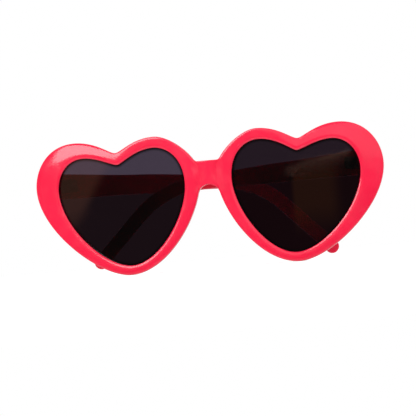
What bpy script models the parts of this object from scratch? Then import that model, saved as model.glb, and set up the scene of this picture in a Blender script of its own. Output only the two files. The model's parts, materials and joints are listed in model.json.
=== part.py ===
"""Heart-shaped sunglasses for a cat or a small dog, folded.

Metres, +Z up. The front looks along -Y and the arms fold behind it, at +Y.
The origin is the top of the arch under the bridge, where the wearer's nose carries it.
Left and right are the wearer's, so the right side lies at -X.
"""

import math

import bmesh
import bpy
from mathutils import Matrix, Vector

# Driving sizes of the front
HEART_WIDTH = 0.03915
HEART_HEIGHT = 0.0319
HEART_GAP = 0.0037
TIP_BELOW_SADDLE = 0.01971
CREST_AHEAD = 0.0017
FRONT_THICKNESS = 0.0030
WRAP_RADIUS = 0.145

# Rim moulding round each lens
LIP_DEPTH = 0.0008
LIP_SHARE = 0.42
LIP_MOST = 0.00105
LIP_ROLL = 0.00009
EDGE_FALL = 0.00125
CROWN_START = 0.00003
BACK_EDGE = 0.0003
GROOVE_DEPTH = 0.0006
GROOVE_WIDTH = 0.0012
GROOVE_BEHIND_CREST = 0.00112
LENS_THICKNESS = 0.0010
LENS_CLEARANCE = 0.00012

# Bridge and nose pads
BRIDGE_TOP = 0.00562
BRIDGE_ARCH = 0.00134
BRIDGE_SET_BACK = 0.00055
BRIDGE_BACK_STEP = 0.0002
BRIDGE_ROUNDING = 0.0006
BRIDGE_BOW = 0.35
BRIDGE_BOW_MOST = 1.6
BRIDGE_ROOT = 0.0016
PAD_LENGTH = 0.0064
PAD_WIDTH = 0.0020
PAD_RISE = 0.0015
PAD_SINK = 0.00065
PAD_BELOW_SADDLE = 0.0085
PAD_OFFSET = 0.0067
PAD_LEAN = math.radians(29)

# Hinges
AXIS_INSET = 0.0037
AXIS_ABOVE_SADDLE = 0.0024
AXIS_BEHIND_RIM = 0.0050
AXIS_BEHIND_SEAT = 0.00245
KNUCKLE_RADIUS = 0.0010
BORE_RADIUS = 0.00055
MIDDLE_KNUCKLE = 0.0013
OUTER_KNUCKLE = 0.00115
KNUCKLE_GAP = 0.00015
LEAF_THICKNESS = 0.00065
LEAF_LENGTH = 0.0046
LEAF_HEIGHT = 0.0030
LEAF_SINK = 0.00038
NECK_BITE = 0.0003
PLATE_THICKNESS = 0.0006
PLATE_WIDTH = 0.0019
PLATE_LIP = 0.0002
PLATE_PROUD = 0.0001
STEM_STEP = 0.0001
SCREW_RADIUS = 0.0004
SCREW_HEAD_RADIUS = 0.0008
SCREW_HEAD_HEIGHT = 0.00045
SCREW_CHAMFER = 0.00015
SCREW_END_PROUD = 0.0001
SLOT_WIDTH = 0.0002
SLOT_DEPTH = 0.0002
SEAT_CLEARANCE = 0.00012
END_SINK = 0.0009
END_MARGIN = 0.0004
END_OVER_ARM = 0.0002
END_ROUNDING = 0.0003

# Arms
ARM_THICKNESS = 0.0017
ARM_TIP_THICKNESS = 0.0015
ARM_ROOT_HEIGHT = 0.0060
ARM_MIDDLE_HEIGHT = 0.0047
ARM_BEND_HEIGHT = 0.0034
ARM_TIP_HEIGHT = 0.0033
ARM_CORNER = 0.00045
ARM_REACH = 0.0485
ARM_DROP = math.radians(2.6)
HOOK_LENGTH = 0.0251
HOOK_SLOPE = math.radians(45.5)
BEND_RADIUS = 0.022
MITRE_GAP = 0.0003

# How the arms lie when folded: the left one nestles behind the rims, the right one over it
LEFT_FOLD = math.radians(-6.5)
RIGHT_FOLD = math.radians(12.5)

# Facets
RIM_STEPS = 14
SECTION_STEPS = 4
ROUND_STEPS = 20
ROUND_PROFILE = 0.5

# The outlines as nodes of a smooth curve: x, z, heading, reach before and after the node.
# Each is a share of the heart's width or height; x counts from the side next to the bridge.
HEART_OUTLINE = (
    (0.0, 0.701, "down", 0.121, 0.281),
    (0.461, 0.0, "out", 0.235, 0.186),
    (1.0, 0.679, "up", 0.310, 0.150),
    (0.749, 1.0, "in", 0.166, 0.134),
    (0.503, 0.903, "in", 0.032, 0.038),
    (0.262, 1.0, "in", 0.132, 0.103),
)
OPENING_OUTLINE = (
    (0.094, 0.645, "down", 0.192, 0.236),
    (0.450, 0.069, "out", 0.166, 0.156),
    (0.862, 0.654, "up", 0.275, 0.096),
    (0.699, 0.882, "in", 0.116, 0.087),
    (0.494, 0.815, "in", 0.032, 0.025),
    (0.268, 0.919, "in", 0.114, 0.078),
)
HEADINGS = {"down": (0, -1), "out": (1, 0), "up": (0, 1), "in": (-1, 0)}


def clear_scene():
    for item in list(bpy.data.objects):
        bpy.data.objects.remove(item, do_unlink=True)


def make_material(name, colour, roughness, metallic=0.0, alpha=1.0):
    made = bpy.data.materials.new(name)
    made.use_nodes = True
    shader = made.node_tree.nodes["Principled BSDF"]
    shader.inputs["Base Color"].default_value = (*colour, 1.0)
    shader.inputs["Roughness"].default_value = roughness
    shader.inputs["Metallic"].default_value = metallic
    shader.inputs["Alpha"].default_value = alpha
    return made


def object_from(name, mesh, material=None, cutter=False):
    made = bpy.data.objects.new(name, mesh)
    bpy.context.scene.collection.objects.link(made)
    if material:
        mesh.materials.append(material)
    if cutter:
        made.hide_render = True
        made.display_type = "WIRE"
    return made


def mesh_from(name, points, faces):
    mesh = bpy.data.meshes.new(name)
    work = bmesh.new()
    corners = [work.verts.new(point) for point in points]
    for face in faces:
        work.faces.new([corners[index] for index in face])
    bmesh.ops.recalc_face_normals(work, faces=work.faces)
    work.to_mesh(mesh)
    work.free()
    return mesh


def loft(name, rings, closed_path):
    """A skin over rings of equally many points. An open path gets a face at each end."""
    count = len(rings[0])
    points = [point for ring in rings for point in ring]
    spans = len(rings) if closed_path else len(rings) - 1
    faces = []
    for row in range(spans):
        here = row * count
        there = (row + 1) % len(rings) * count
        for step in range(count):
            after = (step + 1) % count
            faces.append((here + step, here + after, there + after, there + step))
    if not closed_path:
        faces.append(tuple(range(count)))
        faces.append(tuple(range(len(points) - count, len(points))))
    return mesh_from(name, points, faces)


def add_boolean(target, cutter, operation):
    step = target.modifiers.new(operation.title() + " " + cutter.name, "BOOLEAN")
    step.operation = operation
    step.object = cutter
    step.solver = "EXACT"


def mirror_in_x(mesh):
    mesh.transform(Matrix.Diagonal((-1, 1, 1, 1)))
    mesh.flip_normals()


def shade(mesh, angle=32):
    mesh.shade_smooth()
    mesh.set_sharp_from_angle(angle=math.radians(angle))


def smooth(value):
    value = min(max(value, 0.0), 1.0)
    return value * value * (3 - 2 * value)


def mix(start, end, share):
    return start + (end - start) * share


def wrap(x):
    """Where the crest of the front lies, in y, at this distance from its middle."""
    return x * x / (2 * WRAP_RADIUS) - CREST_AHEAD


def outline_points(nodes, steps):
    """Points of a closed outline with their normals, which point away from the opening."""
    found = []
    for index, (x, z, heading, _, reach) in enumerate(nodes):
        next_x, next_z, next_heading, next_reach, _ = nodes[(index + 1) % len(nodes)]
        start = Vector((x, z))
        end = Vector((next_x, next_z))
        leave = start + Vector(HEADINGS[heading]) * reach
        arrive = end - Vector(HEADINGS[next_heading]) * next_reach
        for step in range(steps):
            t = step / steps
            place = (
                start * (1 - t) ** 3
                + leave * 3 * (1 - t) ** 2 * t
                + arrive * 3 * (1 - t) * t * t
                + end * t**3
            )
            slope = (
                (leave - start) * 3 * (1 - t) ** 2
                + (arrive - leave) * 6 * (1 - t) * t
                + (end - arrive) * 3 * t * t
            )
            point = Vector(
                (
                    HEART_GAP / 2 + place.x * HEART_WIDTH,
                    place.y * HEART_HEIGHT - TIP_BELOW_SADDLE,
                )
            )
            along = Vector((slope.x * HEART_WIDTH, slope.y * HEART_HEIGHT)).normalized()
            found.append((point, Vector((along.y, -along.x))))
    return found


def rim_ring(opening, outer):
    """One section of the rim, as points round it: front lip, crown, outer edge, back, groove."""
    (inner_point, inner_normal), (outer_point, outer_normal) = opening, outer
    width = (outer_point - inner_point).length
    lip = min(LIP_MOST, LIP_SHARE * width)

    def from_opening(distance, depth):
        place = inner_point + inner_normal * distance
        return Vector((place.x, wrap(place.x) + depth, place.y))

    def from_edge(distance, depth):
        place = outer_point - outer_normal * distance
        return Vector((place.x, wrap(place.x) + depth, place.y))

    def between(share, depth):
        near = inner_point + inner_normal * lip
        place = near.lerp(outer_point, share)
        return Vector((place.x, wrap(place.x) + depth, place.y))

    groove_front = GROOVE_BEHIND_CREST
    groove_back = groove_front + GROOVE_WIDTH
    return [
        from_opening(0, LIP_DEPTH),
        from_opening(lip * 0.86, LIP_ROLL),
        from_opening(lip * 1.1, 0.0),
        between(0.3, CROWN_START),
        between(0.52, EDGE_FALL * 0.13),
        between(0.74, EDGE_FALL * 0.36),
        between(0.9, EDGE_FALL * 0.66),
        from_edge(0, EDGE_FALL * 1.12),
        from_edge(0, FRONT_THICKNESS - BACK_EDGE),
        from_edge(BACK_EDGE, FRONT_THICKNESS),
        from_opening(BACK_EDGE, FRONT_THICKNESS),
        from_opening(0, FRONT_THICKNESS - BACK_EDGE),
        from_opening(0, groove_back),
        from_opening(GROOVE_DEPTH, groove_back),
        from_opening(GROOVE_DEPTH, groove_front),
        from_opening(0, groove_front),
    ]


def make_rim(name, side):
    opening = outline_points(OPENING_OUTLINE, RIM_STEPS)
    outer = outline_points(HEART_OUTLINE, RIM_STEPS)
    mesh = loft(name, [rim_ring(a, b) for a, b in zip(opening, outer)], True)
    if side < 0:
        mirror_in_x(mesh)
    return mesh


def make_lens(name, side):
    """A heart cut from sheet, with its edge in the rim's groove."""
    reach = GROOVE_DEPTH - LENS_CLEARANCE
    front = GROOVE_BEHIND_CREST + (GROOVE_WIDTH - LENS_THICKNESS) / 2
    edge = [
        point + normal * reach
        for point, normal in outline_points(OPENING_OUTLINE, RIM_STEPS)
    ]
    middle = sum(edge, Vector((0, 0))) / len(edge)
    points = []
    shares = (1.0, 0.8, 0.6, 0.4, 0.2)
    for depth in (front, front + LENS_THICKNESS):
        for share in shares:
            for place in edge:
                spot = middle.lerp(place, share)
                points.append((spot.x, wrap(spot.x) + depth, spot.y))
        points.append((middle.x, wrap(middle.x) + depth, middle.y))
    count = len(edge)
    layer = count * len(shares) + 1
    faces = []
    for base in (0, layer):
        for row in range(len(shares) - 1):
            for step in range(count):
                after = (step + 1) % count
                here = base + row * count
                faces.append((here + step, here + after, here + count + after, here + count + step))
        last = base + (len(shares) - 1) * count
        for step in range(count):
            faces.append((last + step, last + (step + 1) % count, base + layer - 1))
    for step in range(count):
        after = (step + 1) % count
        faces.append((step, after, layer + after, layer + step))
    mesh = mesh_from(name, points, faces)
    if side < 0:
        mirror_in_x(mesh)
    return mesh


def make_bridge(name):
    """The bar between the hearts: level on top, arched below, bowed back a little between the rims."""
    half = HEART_GAP / 2 + BRIDGE_ROOT
    rings = []
    stations = 9
    for index in range(stations):
        x = mix(-half, half, index / (stations - 1))
        share = x / (HEART_GAP / 2)
        low = -BRIDGE_ARCH * share * share
        bow = BRIDGE_BOW * min(share * share, BRIDGE_BOW_MOST)
        front = wrap(x) + BRIDGE_SET_BACK * (1 - bow)
        back = FRONT_THICKNESS - CREST_AHEAD - BRIDGE_BACK_STEP
        ring = []
        for corner_y, corner_z, start in (
            (front, low, 180),
            (back, low, 270),
            (back, BRIDGE_TOP, 0),
            (front, BRIDGE_TOP, 90),
        ):
            middle_y = corner_y + math.copysign(BRIDGE_ROUNDING, (front + back) / 2 - corner_y)
            middle_z = corner_z + math.copysign(BRIDGE_ROUNDING, (low + BRIDGE_TOP) / 2 - corner_z)
            for step in range(SECTION_STEPS):
                angle = math.radians(start + 90 * step / (SECTION_STEPS - 1))
                ring.append(
                    (
                        x,
                        middle_y + BRIDGE_ROUNDING * math.cos(angle),
                        middle_z + BRIDGE_ROUNDING * math.sin(angle),
                    )
                )
        rings.append(ring)
    return loft(name, rings, False)


def make_nose_pad(name, side):
    """A rounded pad behind the inner rim, facing the side of the nose."""
    work = bmesh.new()
    bmesh.ops.create_uvsphere(work, u_segments=16, v_segments=10, radius=1)
    mesh = bpy.data.meshes.new(name)
    work.to_mesh(mesh)
    work.free()
    mesh.transform(Matrix.Diagonal((PAD_WIDTH / 2, PAD_RISE + PAD_SINK, PAD_LENGTH / 2, 1)))
    mesh.transform(Matrix.Rotation(-PAD_LEAN, 4, "Y"))
    back = wrap(PAD_OFFSET) + FRONT_THICKNESS - PAD_SINK
    mesh.transform(Matrix.Translation((PAD_OFFSET, back, -PAD_BELOW_SADDLE)))
    if side < 0:
        mirror_in_x(mesh)
    return mesh


def box_mesh(name, low, high):
    """A box between two corners, in a hinge's own frame: x outwards, y back, z up."""
    corners = [
        (x, y, z) for x in (low[0], high[0]) for y in (low[1], high[1]) for z in (low[2], high[2])
    ]
    faces = [(0, 1, 3, 2), (4, 6, 7, 5), (0, 4, 5, 1), (2, 3, 7, 6), (0, 2, 6, 4), (1, 5, 7, 3)]
    return mesh_from(name, corners, faces)


def prism_mesh(name, outline, low, high):
    """An outline in x and y raised from one height to another."""
    points = [(x, y, low) for x, y in outline] + [(x, y, high) for x, y in outline]
    count = len(outline)
    faces = [tuple(range(count)), tuple(range(count, 2 * count))]
    for step in range(count):
        after = (step + 1) % count
        faces.append((step, after, count + after, count + step))
    return mesh_from(name, points, faces)


def round_edges(mesh, width, segments):
    work = bmesh.new()
    work.from_mesh(mesh)
    bmesh.ops.bevel(
        work,
        geom=work.edges,
        offset=width,
        segments=segments,
        profile=ROUND_PROFILE,
        affect="EDGES",
    )
    work.to_mesh(mesh)
    work.free()


def circle(radius, steps=ROUND_STEPS, start=0.0, turn=2 * math.pi, ends=False):
    count = steps + 1 if ends else steps
    return [
        (
            radius * math.cos(start + turn * step / steps),
            radius * math.sin(start + turn * step / steps),
        )
        for step in range(count)
    ]


def hinge_frame(side):
    """The hinge's own frame in the world: x outwards from the wearer's nose, y back, z up."""
    place = Vector((side * AXIS_FROM_MIDDLE, AXIS_Y, AXIS_ABOVE_SADDLE))
    return Matrix.Translation(place) @ Matrix.Diagonal((side, 1, 1, 1))


def place_at_hinge(mesh, side):
    mesh.transform(hinge_frame(side))
    if side < 0:
        mesh.flip_normals()


# Sizes that follow from the driving ones
AXIS_FROM_MIDDLE = HEART_GAP / 2 + HEART_WIDTH - AXIS_INSET
RIM_BACK_AT_AXIS = wrap(AXIS_FROM_MIDDLE) + FRONT_THICKNESS
AXIS_Y = RIM_BACK_AT_AXIS + AXIS_BEHIND_RIM
ARM_INNER = KNUCKLE_RADIUS + MITRE_GAP / 2
ARM_OUTER = ARM_INNER + ARM_THICKNESS
END_SEAT = -AXIS_BEHIND_SEAT
END_FRONT = -AXIS_BEHIND_RIM - END_SINK
KNUCKLE_STEP = MIDDLE_KNUCKLE / 2 + KNUCKLE_GAP
BARREL_HALF = KNUCKLE_STEP + OUTER_KNUCKLE
PLATE_BACK = END_SEAT + PLATE_PROUD
PLATE_INNER = -KNUCKLE_RADIUS - PLATE_LIP
LEAF_INNER = KNUCKLE_RADIUS - LEAF_SINK
LEAF_START = KNUCKLE_RADIUS + MITRE_GAP / 2


def make_end_piece(name, side):
    """The block behind the outer rim: a seat for the hinge plate, and the lug the arm closes on."""
    half = ARM_ROOT_HEIGHT / 2 + END_OVER_ARM
    inner = PLATE_INNER - END_MARGIN
    outline = [
        (inner, END_FRONT),
        (ARM_OUTER, END_FRONT),
        (ARM_OUTER, -MITRE_GAP / 2),
        (ARM_INNER, -MITRE_GAP / 2),
        (ARM_INNER, END_SEAT),
        (inner, END_SEAT),
    ]
    mesh = prism_mesh(name, outline, -half, half)
    round_edges(mesh, END_ROUNDING, 2)
    place_at_hinge(mesh, side)
    return mesh


def make_plate_pocket(name, side):
    low = (PLATE_INNER - SEAT_CLEARANCE, PLATE_BACK - PLATE_THICKNESS - SEAT_CLEARANCE)
    half = BARREL_HALF + SEAT_CLEARANCE
    mesh = box_mesh(
        name,
        (*low, -half),
        (PLATE_INNER + PLATE_WIDTH + SEAT_CLEARANCE, 0.0, half),
    )
    place_at_hinge(mesh, side)
    return mesh


def make_front(plastic):
    front = object_from("front_frame", make_rim("front_frame", 1), plastic)
    additions = [
        ("right_rim", make_rim("right_rim", -1)),
        ("bridge", make_bridge("bridge")),
        ("left_end_piece", make_end_piece("left_end_piece", 1)),
        ("right_end_piece", make_end_piece("right_end_piece", -1)),
        ("left_nose_pad", make_nose_pad("left_nose_pad", 1)),
        ("right_nose_pad", make_nose_pad("right_nose_pad", -1)),
    ]
    for name, mesh in additions:
        add_boolean(front, object_from(name, mesh, cutter=True), "UNION")
    for side, word in ((1, "left"), (-1, "right")):
        pocket = object_from(
            word + "_plate_pocket", make_plate_pocket(word + "_plate_pocket", side), cutter=True
        )
        add_boolean(front, pocket, "DIFFERENCE")
    return front


def make_front_hinge(word, side, metal):
    """The plate in the end piece's seat and its two knuckles, bored for the screw."""
    plate = box_mesh(
        word + "_front_hinge",
        (PLATE_INNER, PLATE_BACK - PLATE_THICKNESS, -BARREL_HALF),
        (PLATE_INNER + PLATE_WIDTH, PLATE_BACK, BARREL_HALF),
    )
    place_at_hinge(plate, side)
    hinge = object_from(word + "_front_hinge", plate, metal)
    stem = [(-KNUCKLE_RADIUS, PLATE_BACK - PLATE_THICKNESS / 2)]
    stem.append((PLATE_INNER + PLATE_WIDTH - STEM_STEP, PLATE_BACK - PLATE_THICKNESS / 2))
    barrel = stem + circle(KNUCKLE_RADIUS, ROUND_STEPS // 2, 0, math.pi, ends=True)
    for level, low, high in (
        ("upper", KNUCKLE_STEP, BARREL_HALF),
        ("lower", -BARREL_HALF, -KNUCKLE_STEP),
    ):
        knuckle = prism_mesh(word + "_" + level + "_knuckle", barrel, low, high)
        place_at_hinge(knuckle, side)
        add_boolean(hinge, object_from(knuckle.name, knuckle, cutter=True), "UNION")
    bore = prism_mesh(
        word + "_front_bore", circle(BORE_RADIUS), -2 * BARREL_HALF, 2 * BARREL_HALF
    )
    place_at_hinge(bore, side)
    add_boolean(hinge, object_from(word + "_front_bore", bore, cutter=True), "DIFFERENCE")
    return hinge


def make_screw(word, side, metal):
    """A slotted screw down through the three knuckles."""
    head_low = BARREL_HALF + SEAT_CLEARANCE / 2
    head_high = head_low + SCREW_HEAD_HEIGHT
    end = -BARREL_HALF - SCREW_END_PROUD
    profile = [
        (0, end),
        (SCREW_RADIUS * 0.7, end),
        (SCREW_RADIUS, end + SCREW_CHAMFER),
        (SCREW_RADIUS, head_low),
        (SCREW_HEAD_RADIUS, head_low),
        (SCREW_HEAD_RADIUS, head_high - SCREW_CHAMFER / 2),
        (SCREW_HEAD_RADIUS - SCREW_CHAMFER, head_high),
        (0, head_high),
    ]
    rings = [
        [(radius * x, radius * y, height) for x, y in circle(1.0, 16)]
        for radius, height in profile[1:-1]
    ]
    mesh = loft(word + "_hinge_screw", rings, False)
    place_at_hinge(mesh, side)
    screw = object_from(word + "_hinge_screw", mesh, metal)
    slot = box_mesh(
        word + "_slot",
        (-2 * SCREW_HEAD_RADIUS, -SLOT_WIDTH / 2, head_high - SLOT_DEPTH),
        (2 * SCREW_HEAD_RADIUS, SLOT_WIDTH / 2, head_high + SLOT_DEPTH),
    )
    place_at_hinge(slot, side)
    add_boolean(screw, object_from(word + "_slot", slot, cutter=True), "DIFFERENCE")
    return screw


def arm_height(share_to_bend, share_of_hook):
    if share_of_hook > 0:
        return mix(ARM_BEND_HEIGHT, ARM_TIP_HEIGHT, smooth(share_of_hook))
    if share_to_bend < 0.5:
        return mix(ARM_ROOT_HEIGHT, ARM_MIDDLE_HEIGHT, smooth(share_to_bend * 2))
    return mix(ARM_MIDDLE_HEIGHT, ARM_BEND_HEIGHT, smooth(share_to_bend * 2 - 1))


def arm_path():
    """Stations along the arm: distance back, height and slope, with the shares of its two runs."""
    turn = HOOK_SLOPE - ARM_DROP
    tangent = BEND_RADIUS * math.tan(turn / 2)
    straight = ARM_REACH / math.cos(ARM_DROP) - tangent
    stations = []
    start = MITRE_GAP / 2 / math.cos(ARM_DROP)
    for step in range(9):
        along = mix(start, straight, step / 8)
        stations.append(
            (along * math.cos(ARM_DROP), -along * math.sin(ARM_DROP), ARM_DROP, along / straight, 0)
        )
    y, z = straight * math.cos(ARM_DROP), -straight * math.sin(ARM_DROP)
    hook = HOOK_LENGTH - tangent
    total = BEND_RADIUS * turn + hook
    for step in range(1, 7):
        slope = ARM_DROP + turn * step / 6
        stations.append(
            (
                y + BEND_RADIUS * (math.sin(slope) - math.sin(ARM_DROP)),
                z - BEND_RADIUS * (math.cos(ARM_DROP) - math.cos(slope)),
                slope,
                1,
                BEND_RADIUS * (slope - ARM_DROP) / total,
            )
        )
    y, z = stations[-1][0], stations[-1][1]
    for step in range(1, 6):
        along = (hook - ARM_TIP_HEIGHT / 2) * step / 5
        stations.append(
            (
                y + along * math.cos(HOOK_SLOPE),
                z - along * math.sin(HOOK_SLOPE),
                HOOK_SLOPE,
                1,
                min((BEND_RADIUS * turn + along) / total, 1),
            )
        )
    return stations


def arm_section(height, thickness):
    """Half sizes of the section's corners: flat inside, crowned outside."""
    half = height / 2
    corner = min(ARM_CORNER, height * 0.2)
    return [
        (0.0, half - corner * 0.6),
        (corner * 0.5, half),
        (thickness * 0.62, half - corner * 0.1),
        (thickness * 0.9, half - corner * 1.1),
        (thickness, half * 0.36),
        (thickness, -half * 0.36),
        (thickness * 0.9, -half + corner * 1.1),
        (thickness * 0.62, -half + corner * 0.1),
        (corner * 0.5, -half),
        (0.0, -half + corner * 0.6),
    ]


def make_arm(word, side, plastic):
    """The arm as it stands open: straight back from the hinge, then hooked down behind the ear."""
    rings = []
    stations = arm_path()
    for back, up, slope, share_to_bend, share_of_hook in stations:
        height = arm_height(share_to_bend, share_of_hook)
        thickness = mix(ARM_THICKNESS, ARM_TIP_THICKNESS, share_of_hook)
        lean = slope if share_to_bend > 0.02 else 0.0
        ring = []
        for out, over in arm_section(height, thickness):
            ring.append(
                (ARM_INNER + out, back + over * math.sin(lean), up + over * math.cos(lean))
            )
        rings.append(ring)
    back, up, slope = stations[-1][:3]
    radius = ARM_TIP_HEIGHT / 2
    for angle in (30, 55, 75):
        far = radius * math.sin(math.radians(angle))
        shrink = math.cos(math.radians(angle))
        middle = ARM_TIP_THICKNESS / 2
        ring = []
        for out, over in arm_section(ARM_TIP_HEIGHT, ARM_TIP_THICKNESS):
            out = middle + (out - middle) * mix(1, shrink, 0.8)
            over = over * shrink
            ring.append(
                (
                    ARM_INNER + out,
                    back + far * math.cos(slope) + over * math.sin(slope),
                    up - far * math.sin(slope) + over * math.cos(slope),
                )
            )
        rings.append(ring)
    mesh = loft(word + "_temple", rings, False)
    arm = object_from(word + "_temple", mesh, plastic)
    pocket = box_mesh(
        word + "_leaf_pocket",
        (-KNUCKLE_RADIUS, -KNUCKLE_RADIUS, -LEAF_HEIGHT / 2 - SEAT_CLEARANCE),
        (
            LEAF_INNER + LEAF_THICKNESS + SEAT_CLEARANCE,
            LEAF_START + LEAF_LENGTH + SEAT_CLEARANCE,
            LEAF_HEIGHT / 2 + SEAT_CLEARANCE,
        ),
    )
    cutter = object_from(word + "_leaf_pocket", pocket, cutter=True)
    add_boolean(arm, cutter, "DIFFERENCE")
    return arm, cutter


def make_temple_hinge(word, metal):
    """The leaf in the arm's pocket and the middle knuckle, bored for the screw."""
    leaf = box_mesh(
        word + "_temple_hinge",
        (LEAF_INNER, LEAF_START, -LEAF_HEIGHT / 2),
        (LEAF_INNER + LEAF_THICKNESS, LEAF_START + LEAF_LENGTH, LEAF_HEIGHT / 2),
    )
    hinge = object_from(word + "_temple_hinge", leaf, metal)
    neck = prism_mesh(
        word + "_middle_knuckle",
        [
            (KNUCKLE_RADIUS, LEAF_START + NECK_BITE),
            (-KNUCKLE_RADIUS / 5, LEAF_START + NECK_BITE),
        ]
        + circle(KNUCKLE_RADIUS, ROUND_STEPS, math.pi * 0.75, math.pi * 1.25, ends=True),
        -MIDDLE_KNUCKLE / 2,
        MIDDLE_KNUCKLE / 2,
    )
    knuckle = object_from(word + "_middle_knuckle", neck, cutter=True)
    add_boolean(hinge, knuckle, "UNION")
    bore = object_from(
        word + "_middle_bore",
        prism_mesh(word + "_middle_bore", circle(BORE_RADIUS), -MIDDLE_KNUCKLE, MIDDLE_KNUCKLE),
        cutter=True,
    )
    add_boolean(hinge, bore, "DIFFERENCE")
    return hinge, [knuckle, bore]


def make_temple(word, side, fold, plastic, metal):
    """The arm and its hinge leaf hang on an empty on the hinge's axis, which folds them inwards."""
    axis = bpy.data.objects.new(word + "_temple_axis", None)
    bpy.context.scene.collection.objects.link(axis)
    axis.location = (side * AXIS_FROM_MIDDLE, AXIS_Y, AXIS_ABOVE_SADDLE)
    axis.rotation_euler = (0, 0, side * (math.pi / 2 - fold))
    arm, pocket = make_arm(word, side, plastic)
    hinge, helpers = make_temple_hinge(word, metal)
    for item in [arm, pocket, hinge, *helpers]:
        if side < 0:
            mirror_in_x(item.data)
        item.parent = axis
    shade(arm.data)
    return axis


def main():
    clear_scene()
    plastic = make_material("coral moulded plastic", (0.98, 0.04, 0.09), 0.22)
    smoke = make_material("smoke lens sheet", (0.02, 0.015, 0.02), 0.05, alpha=0.9)
    metal = make_material("nickel plated hinge", (0.62, 0.61, 0.59), 0.3, metallic=1.0)
    front = make_front(plastic)
    shade(front.data)
    for word, side, fold in (("left", 1, LEFT_FOLD), ("right", -1, RIGHT_FOLD)):
        lens = object_from(word + "_lens", make_lens(word + "_lens", side), smoke)
        shade(lens.data)
        make_front_hinge(word, side, metal)
        make_screw(word, side, metal)
        make_temple(word, side, fold, plastic, metal)
    bpy.context.view_layer.update()
    print("axis", AXIS_FROM_MIDDLE, AXIS_Y, AXIS_ABOVE_SADDLE)


main()
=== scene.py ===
import json
import math

import bmesh
import bpy
import numpy as np
from mathutils import Matrix, Vector


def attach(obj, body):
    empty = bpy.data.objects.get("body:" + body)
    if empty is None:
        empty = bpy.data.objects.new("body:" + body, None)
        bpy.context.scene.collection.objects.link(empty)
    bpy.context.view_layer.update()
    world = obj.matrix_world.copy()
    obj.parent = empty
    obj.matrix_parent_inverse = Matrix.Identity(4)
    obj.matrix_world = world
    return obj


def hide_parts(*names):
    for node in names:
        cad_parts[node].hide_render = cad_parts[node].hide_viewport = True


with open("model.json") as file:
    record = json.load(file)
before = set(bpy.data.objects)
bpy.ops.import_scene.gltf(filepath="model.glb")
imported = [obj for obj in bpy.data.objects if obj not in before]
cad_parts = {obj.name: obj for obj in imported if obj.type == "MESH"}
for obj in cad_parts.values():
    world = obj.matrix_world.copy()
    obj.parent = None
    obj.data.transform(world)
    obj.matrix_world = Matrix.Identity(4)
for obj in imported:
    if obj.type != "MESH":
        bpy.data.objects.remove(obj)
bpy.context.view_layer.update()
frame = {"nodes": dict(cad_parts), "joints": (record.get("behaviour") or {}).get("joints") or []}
print("frame loaded")


def hexToLinear(text):
    # sRGB hex to the linear numbers that a shader takes
    values = [int(text[i:i + 2], 16) / 255 for i in (1, 3, 5)]
    return [v / 12.92 if v <= 0.04045 else ((v + 0.055) / 1.055) ** 2.4 for v in values] + [1.0]


def smooth(value):
    value = min(max(value, 0.0), 1.0)
    return value * value * (3 - 2 * value)


def mix(start, end, share):
    return start + (end - start) * share


def feed(tree, node, links):
    # what feeds a node's inputs: each an output, or a node whose first output counts
    for name, source in links.items():
        if isinstance(source, bpy.types.Node):
            source = next(output for output in source.outputs if output.enabled)
        tree.links.new(source, node.inputs[name])


def addNode(tree, kind, settings=None, links=None):
    # one node with its links; a setting sets the input of that name, or else the node itself
    node = tree.nodes.new(kind)
    for name, value in (settings or {}).items():
        if isinstance(name, int) or name in node.inputs:
            node.inputs[name].default_value = value
        else:
            setattr(node, name, value)
    feed(tree, node, links or {})
    return node


def layPattern(tree, every, detail, stretch=(1, 1, 1), lean=0.0, distortion=0.0):
    # patches or lines that come at a real distance in metres, drawn out and leaning on the object
    place = addNode(tree, "ShaderNodeTexCoord").outputs["Object"]
    drawnOut = {"Rotation": (0, lean, 0), "Scale": stretch}
    way = addNode(tree, "ShaderNodeMapping", drawnOut, {"Vector": place})
    patches = {"Scale": 1 / every, "Detail": detail, "Distortion": distortion}
    return addNode(tree, "ShaderNodeTexNoise", patches, {"Vector": way})


def newMaterial(name, settings):
    made = bpy.data.materials.new(name)
    made.use_nodes = True
    shader = made.node_tree.nodes["Principled BSDF"]
    for key, value in settings.items():
        shader.inputs[key].default_value = value
    return made, made.node_tree, shader


def newObject(name, data):
    made = bpy.data.objects.new(name, data)
    bpy.context.scene.collection.objects.link(made)
    return made


def newPiece(name, points, faces, material, body, sharp=35):
    # a mesh piece that rides on a CAD body, smooth apart from its creases
    mesh = bpy.data.meshes.new(name)
    work = bmesh.new()
    corners = [work.verts.new(p) for p in points]
    for face in faces:
        work.faces.new([corners[i] for i in face])
    bmesh.ops.recalc_face_normals(work, faces=work.faces)
    work.to_mesh(mesh)
    work.free()
    mesh.materials.append(material)
    mesh.shade_smooth()
    mesh.set_sharp_from_angle(angle=math.radians(sharp))
    piece = newObject(name, mesh)
    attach(piece, body)
    return piece


def bandFaces(base, count, rings):
    # four-sided faces between closed rings that lie one after the other in the list of points
    faces = []
    for ring in range(rings - 1):
        for step in range(count):
            here, after = base + ring * count, (step + 1) % count
            faces.append((here + step, here + after, here + count + after, here + count + step))
    return faces


# Camera at the photograph's angle, a little to the viewer's right of straight on
camera = {
    "turn": 4.15,       # degrees round to the viewer's right
    "rise": -0.27,      # degrees above the horizon
    "roll": 4.745,      # degrees, viewer's right side up
    "distance": 2.0,
    "pixelsPerMetre": 4267.7,
    "pictureWidth": 416,        # pixels
    "sensor": 36,       # millimetres, Blender's own
    "clip": 5,          # farthest that it sees, in its own distances
    "aimRight": -0.000648,
    "aimUp": -0.005533,
}


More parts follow.
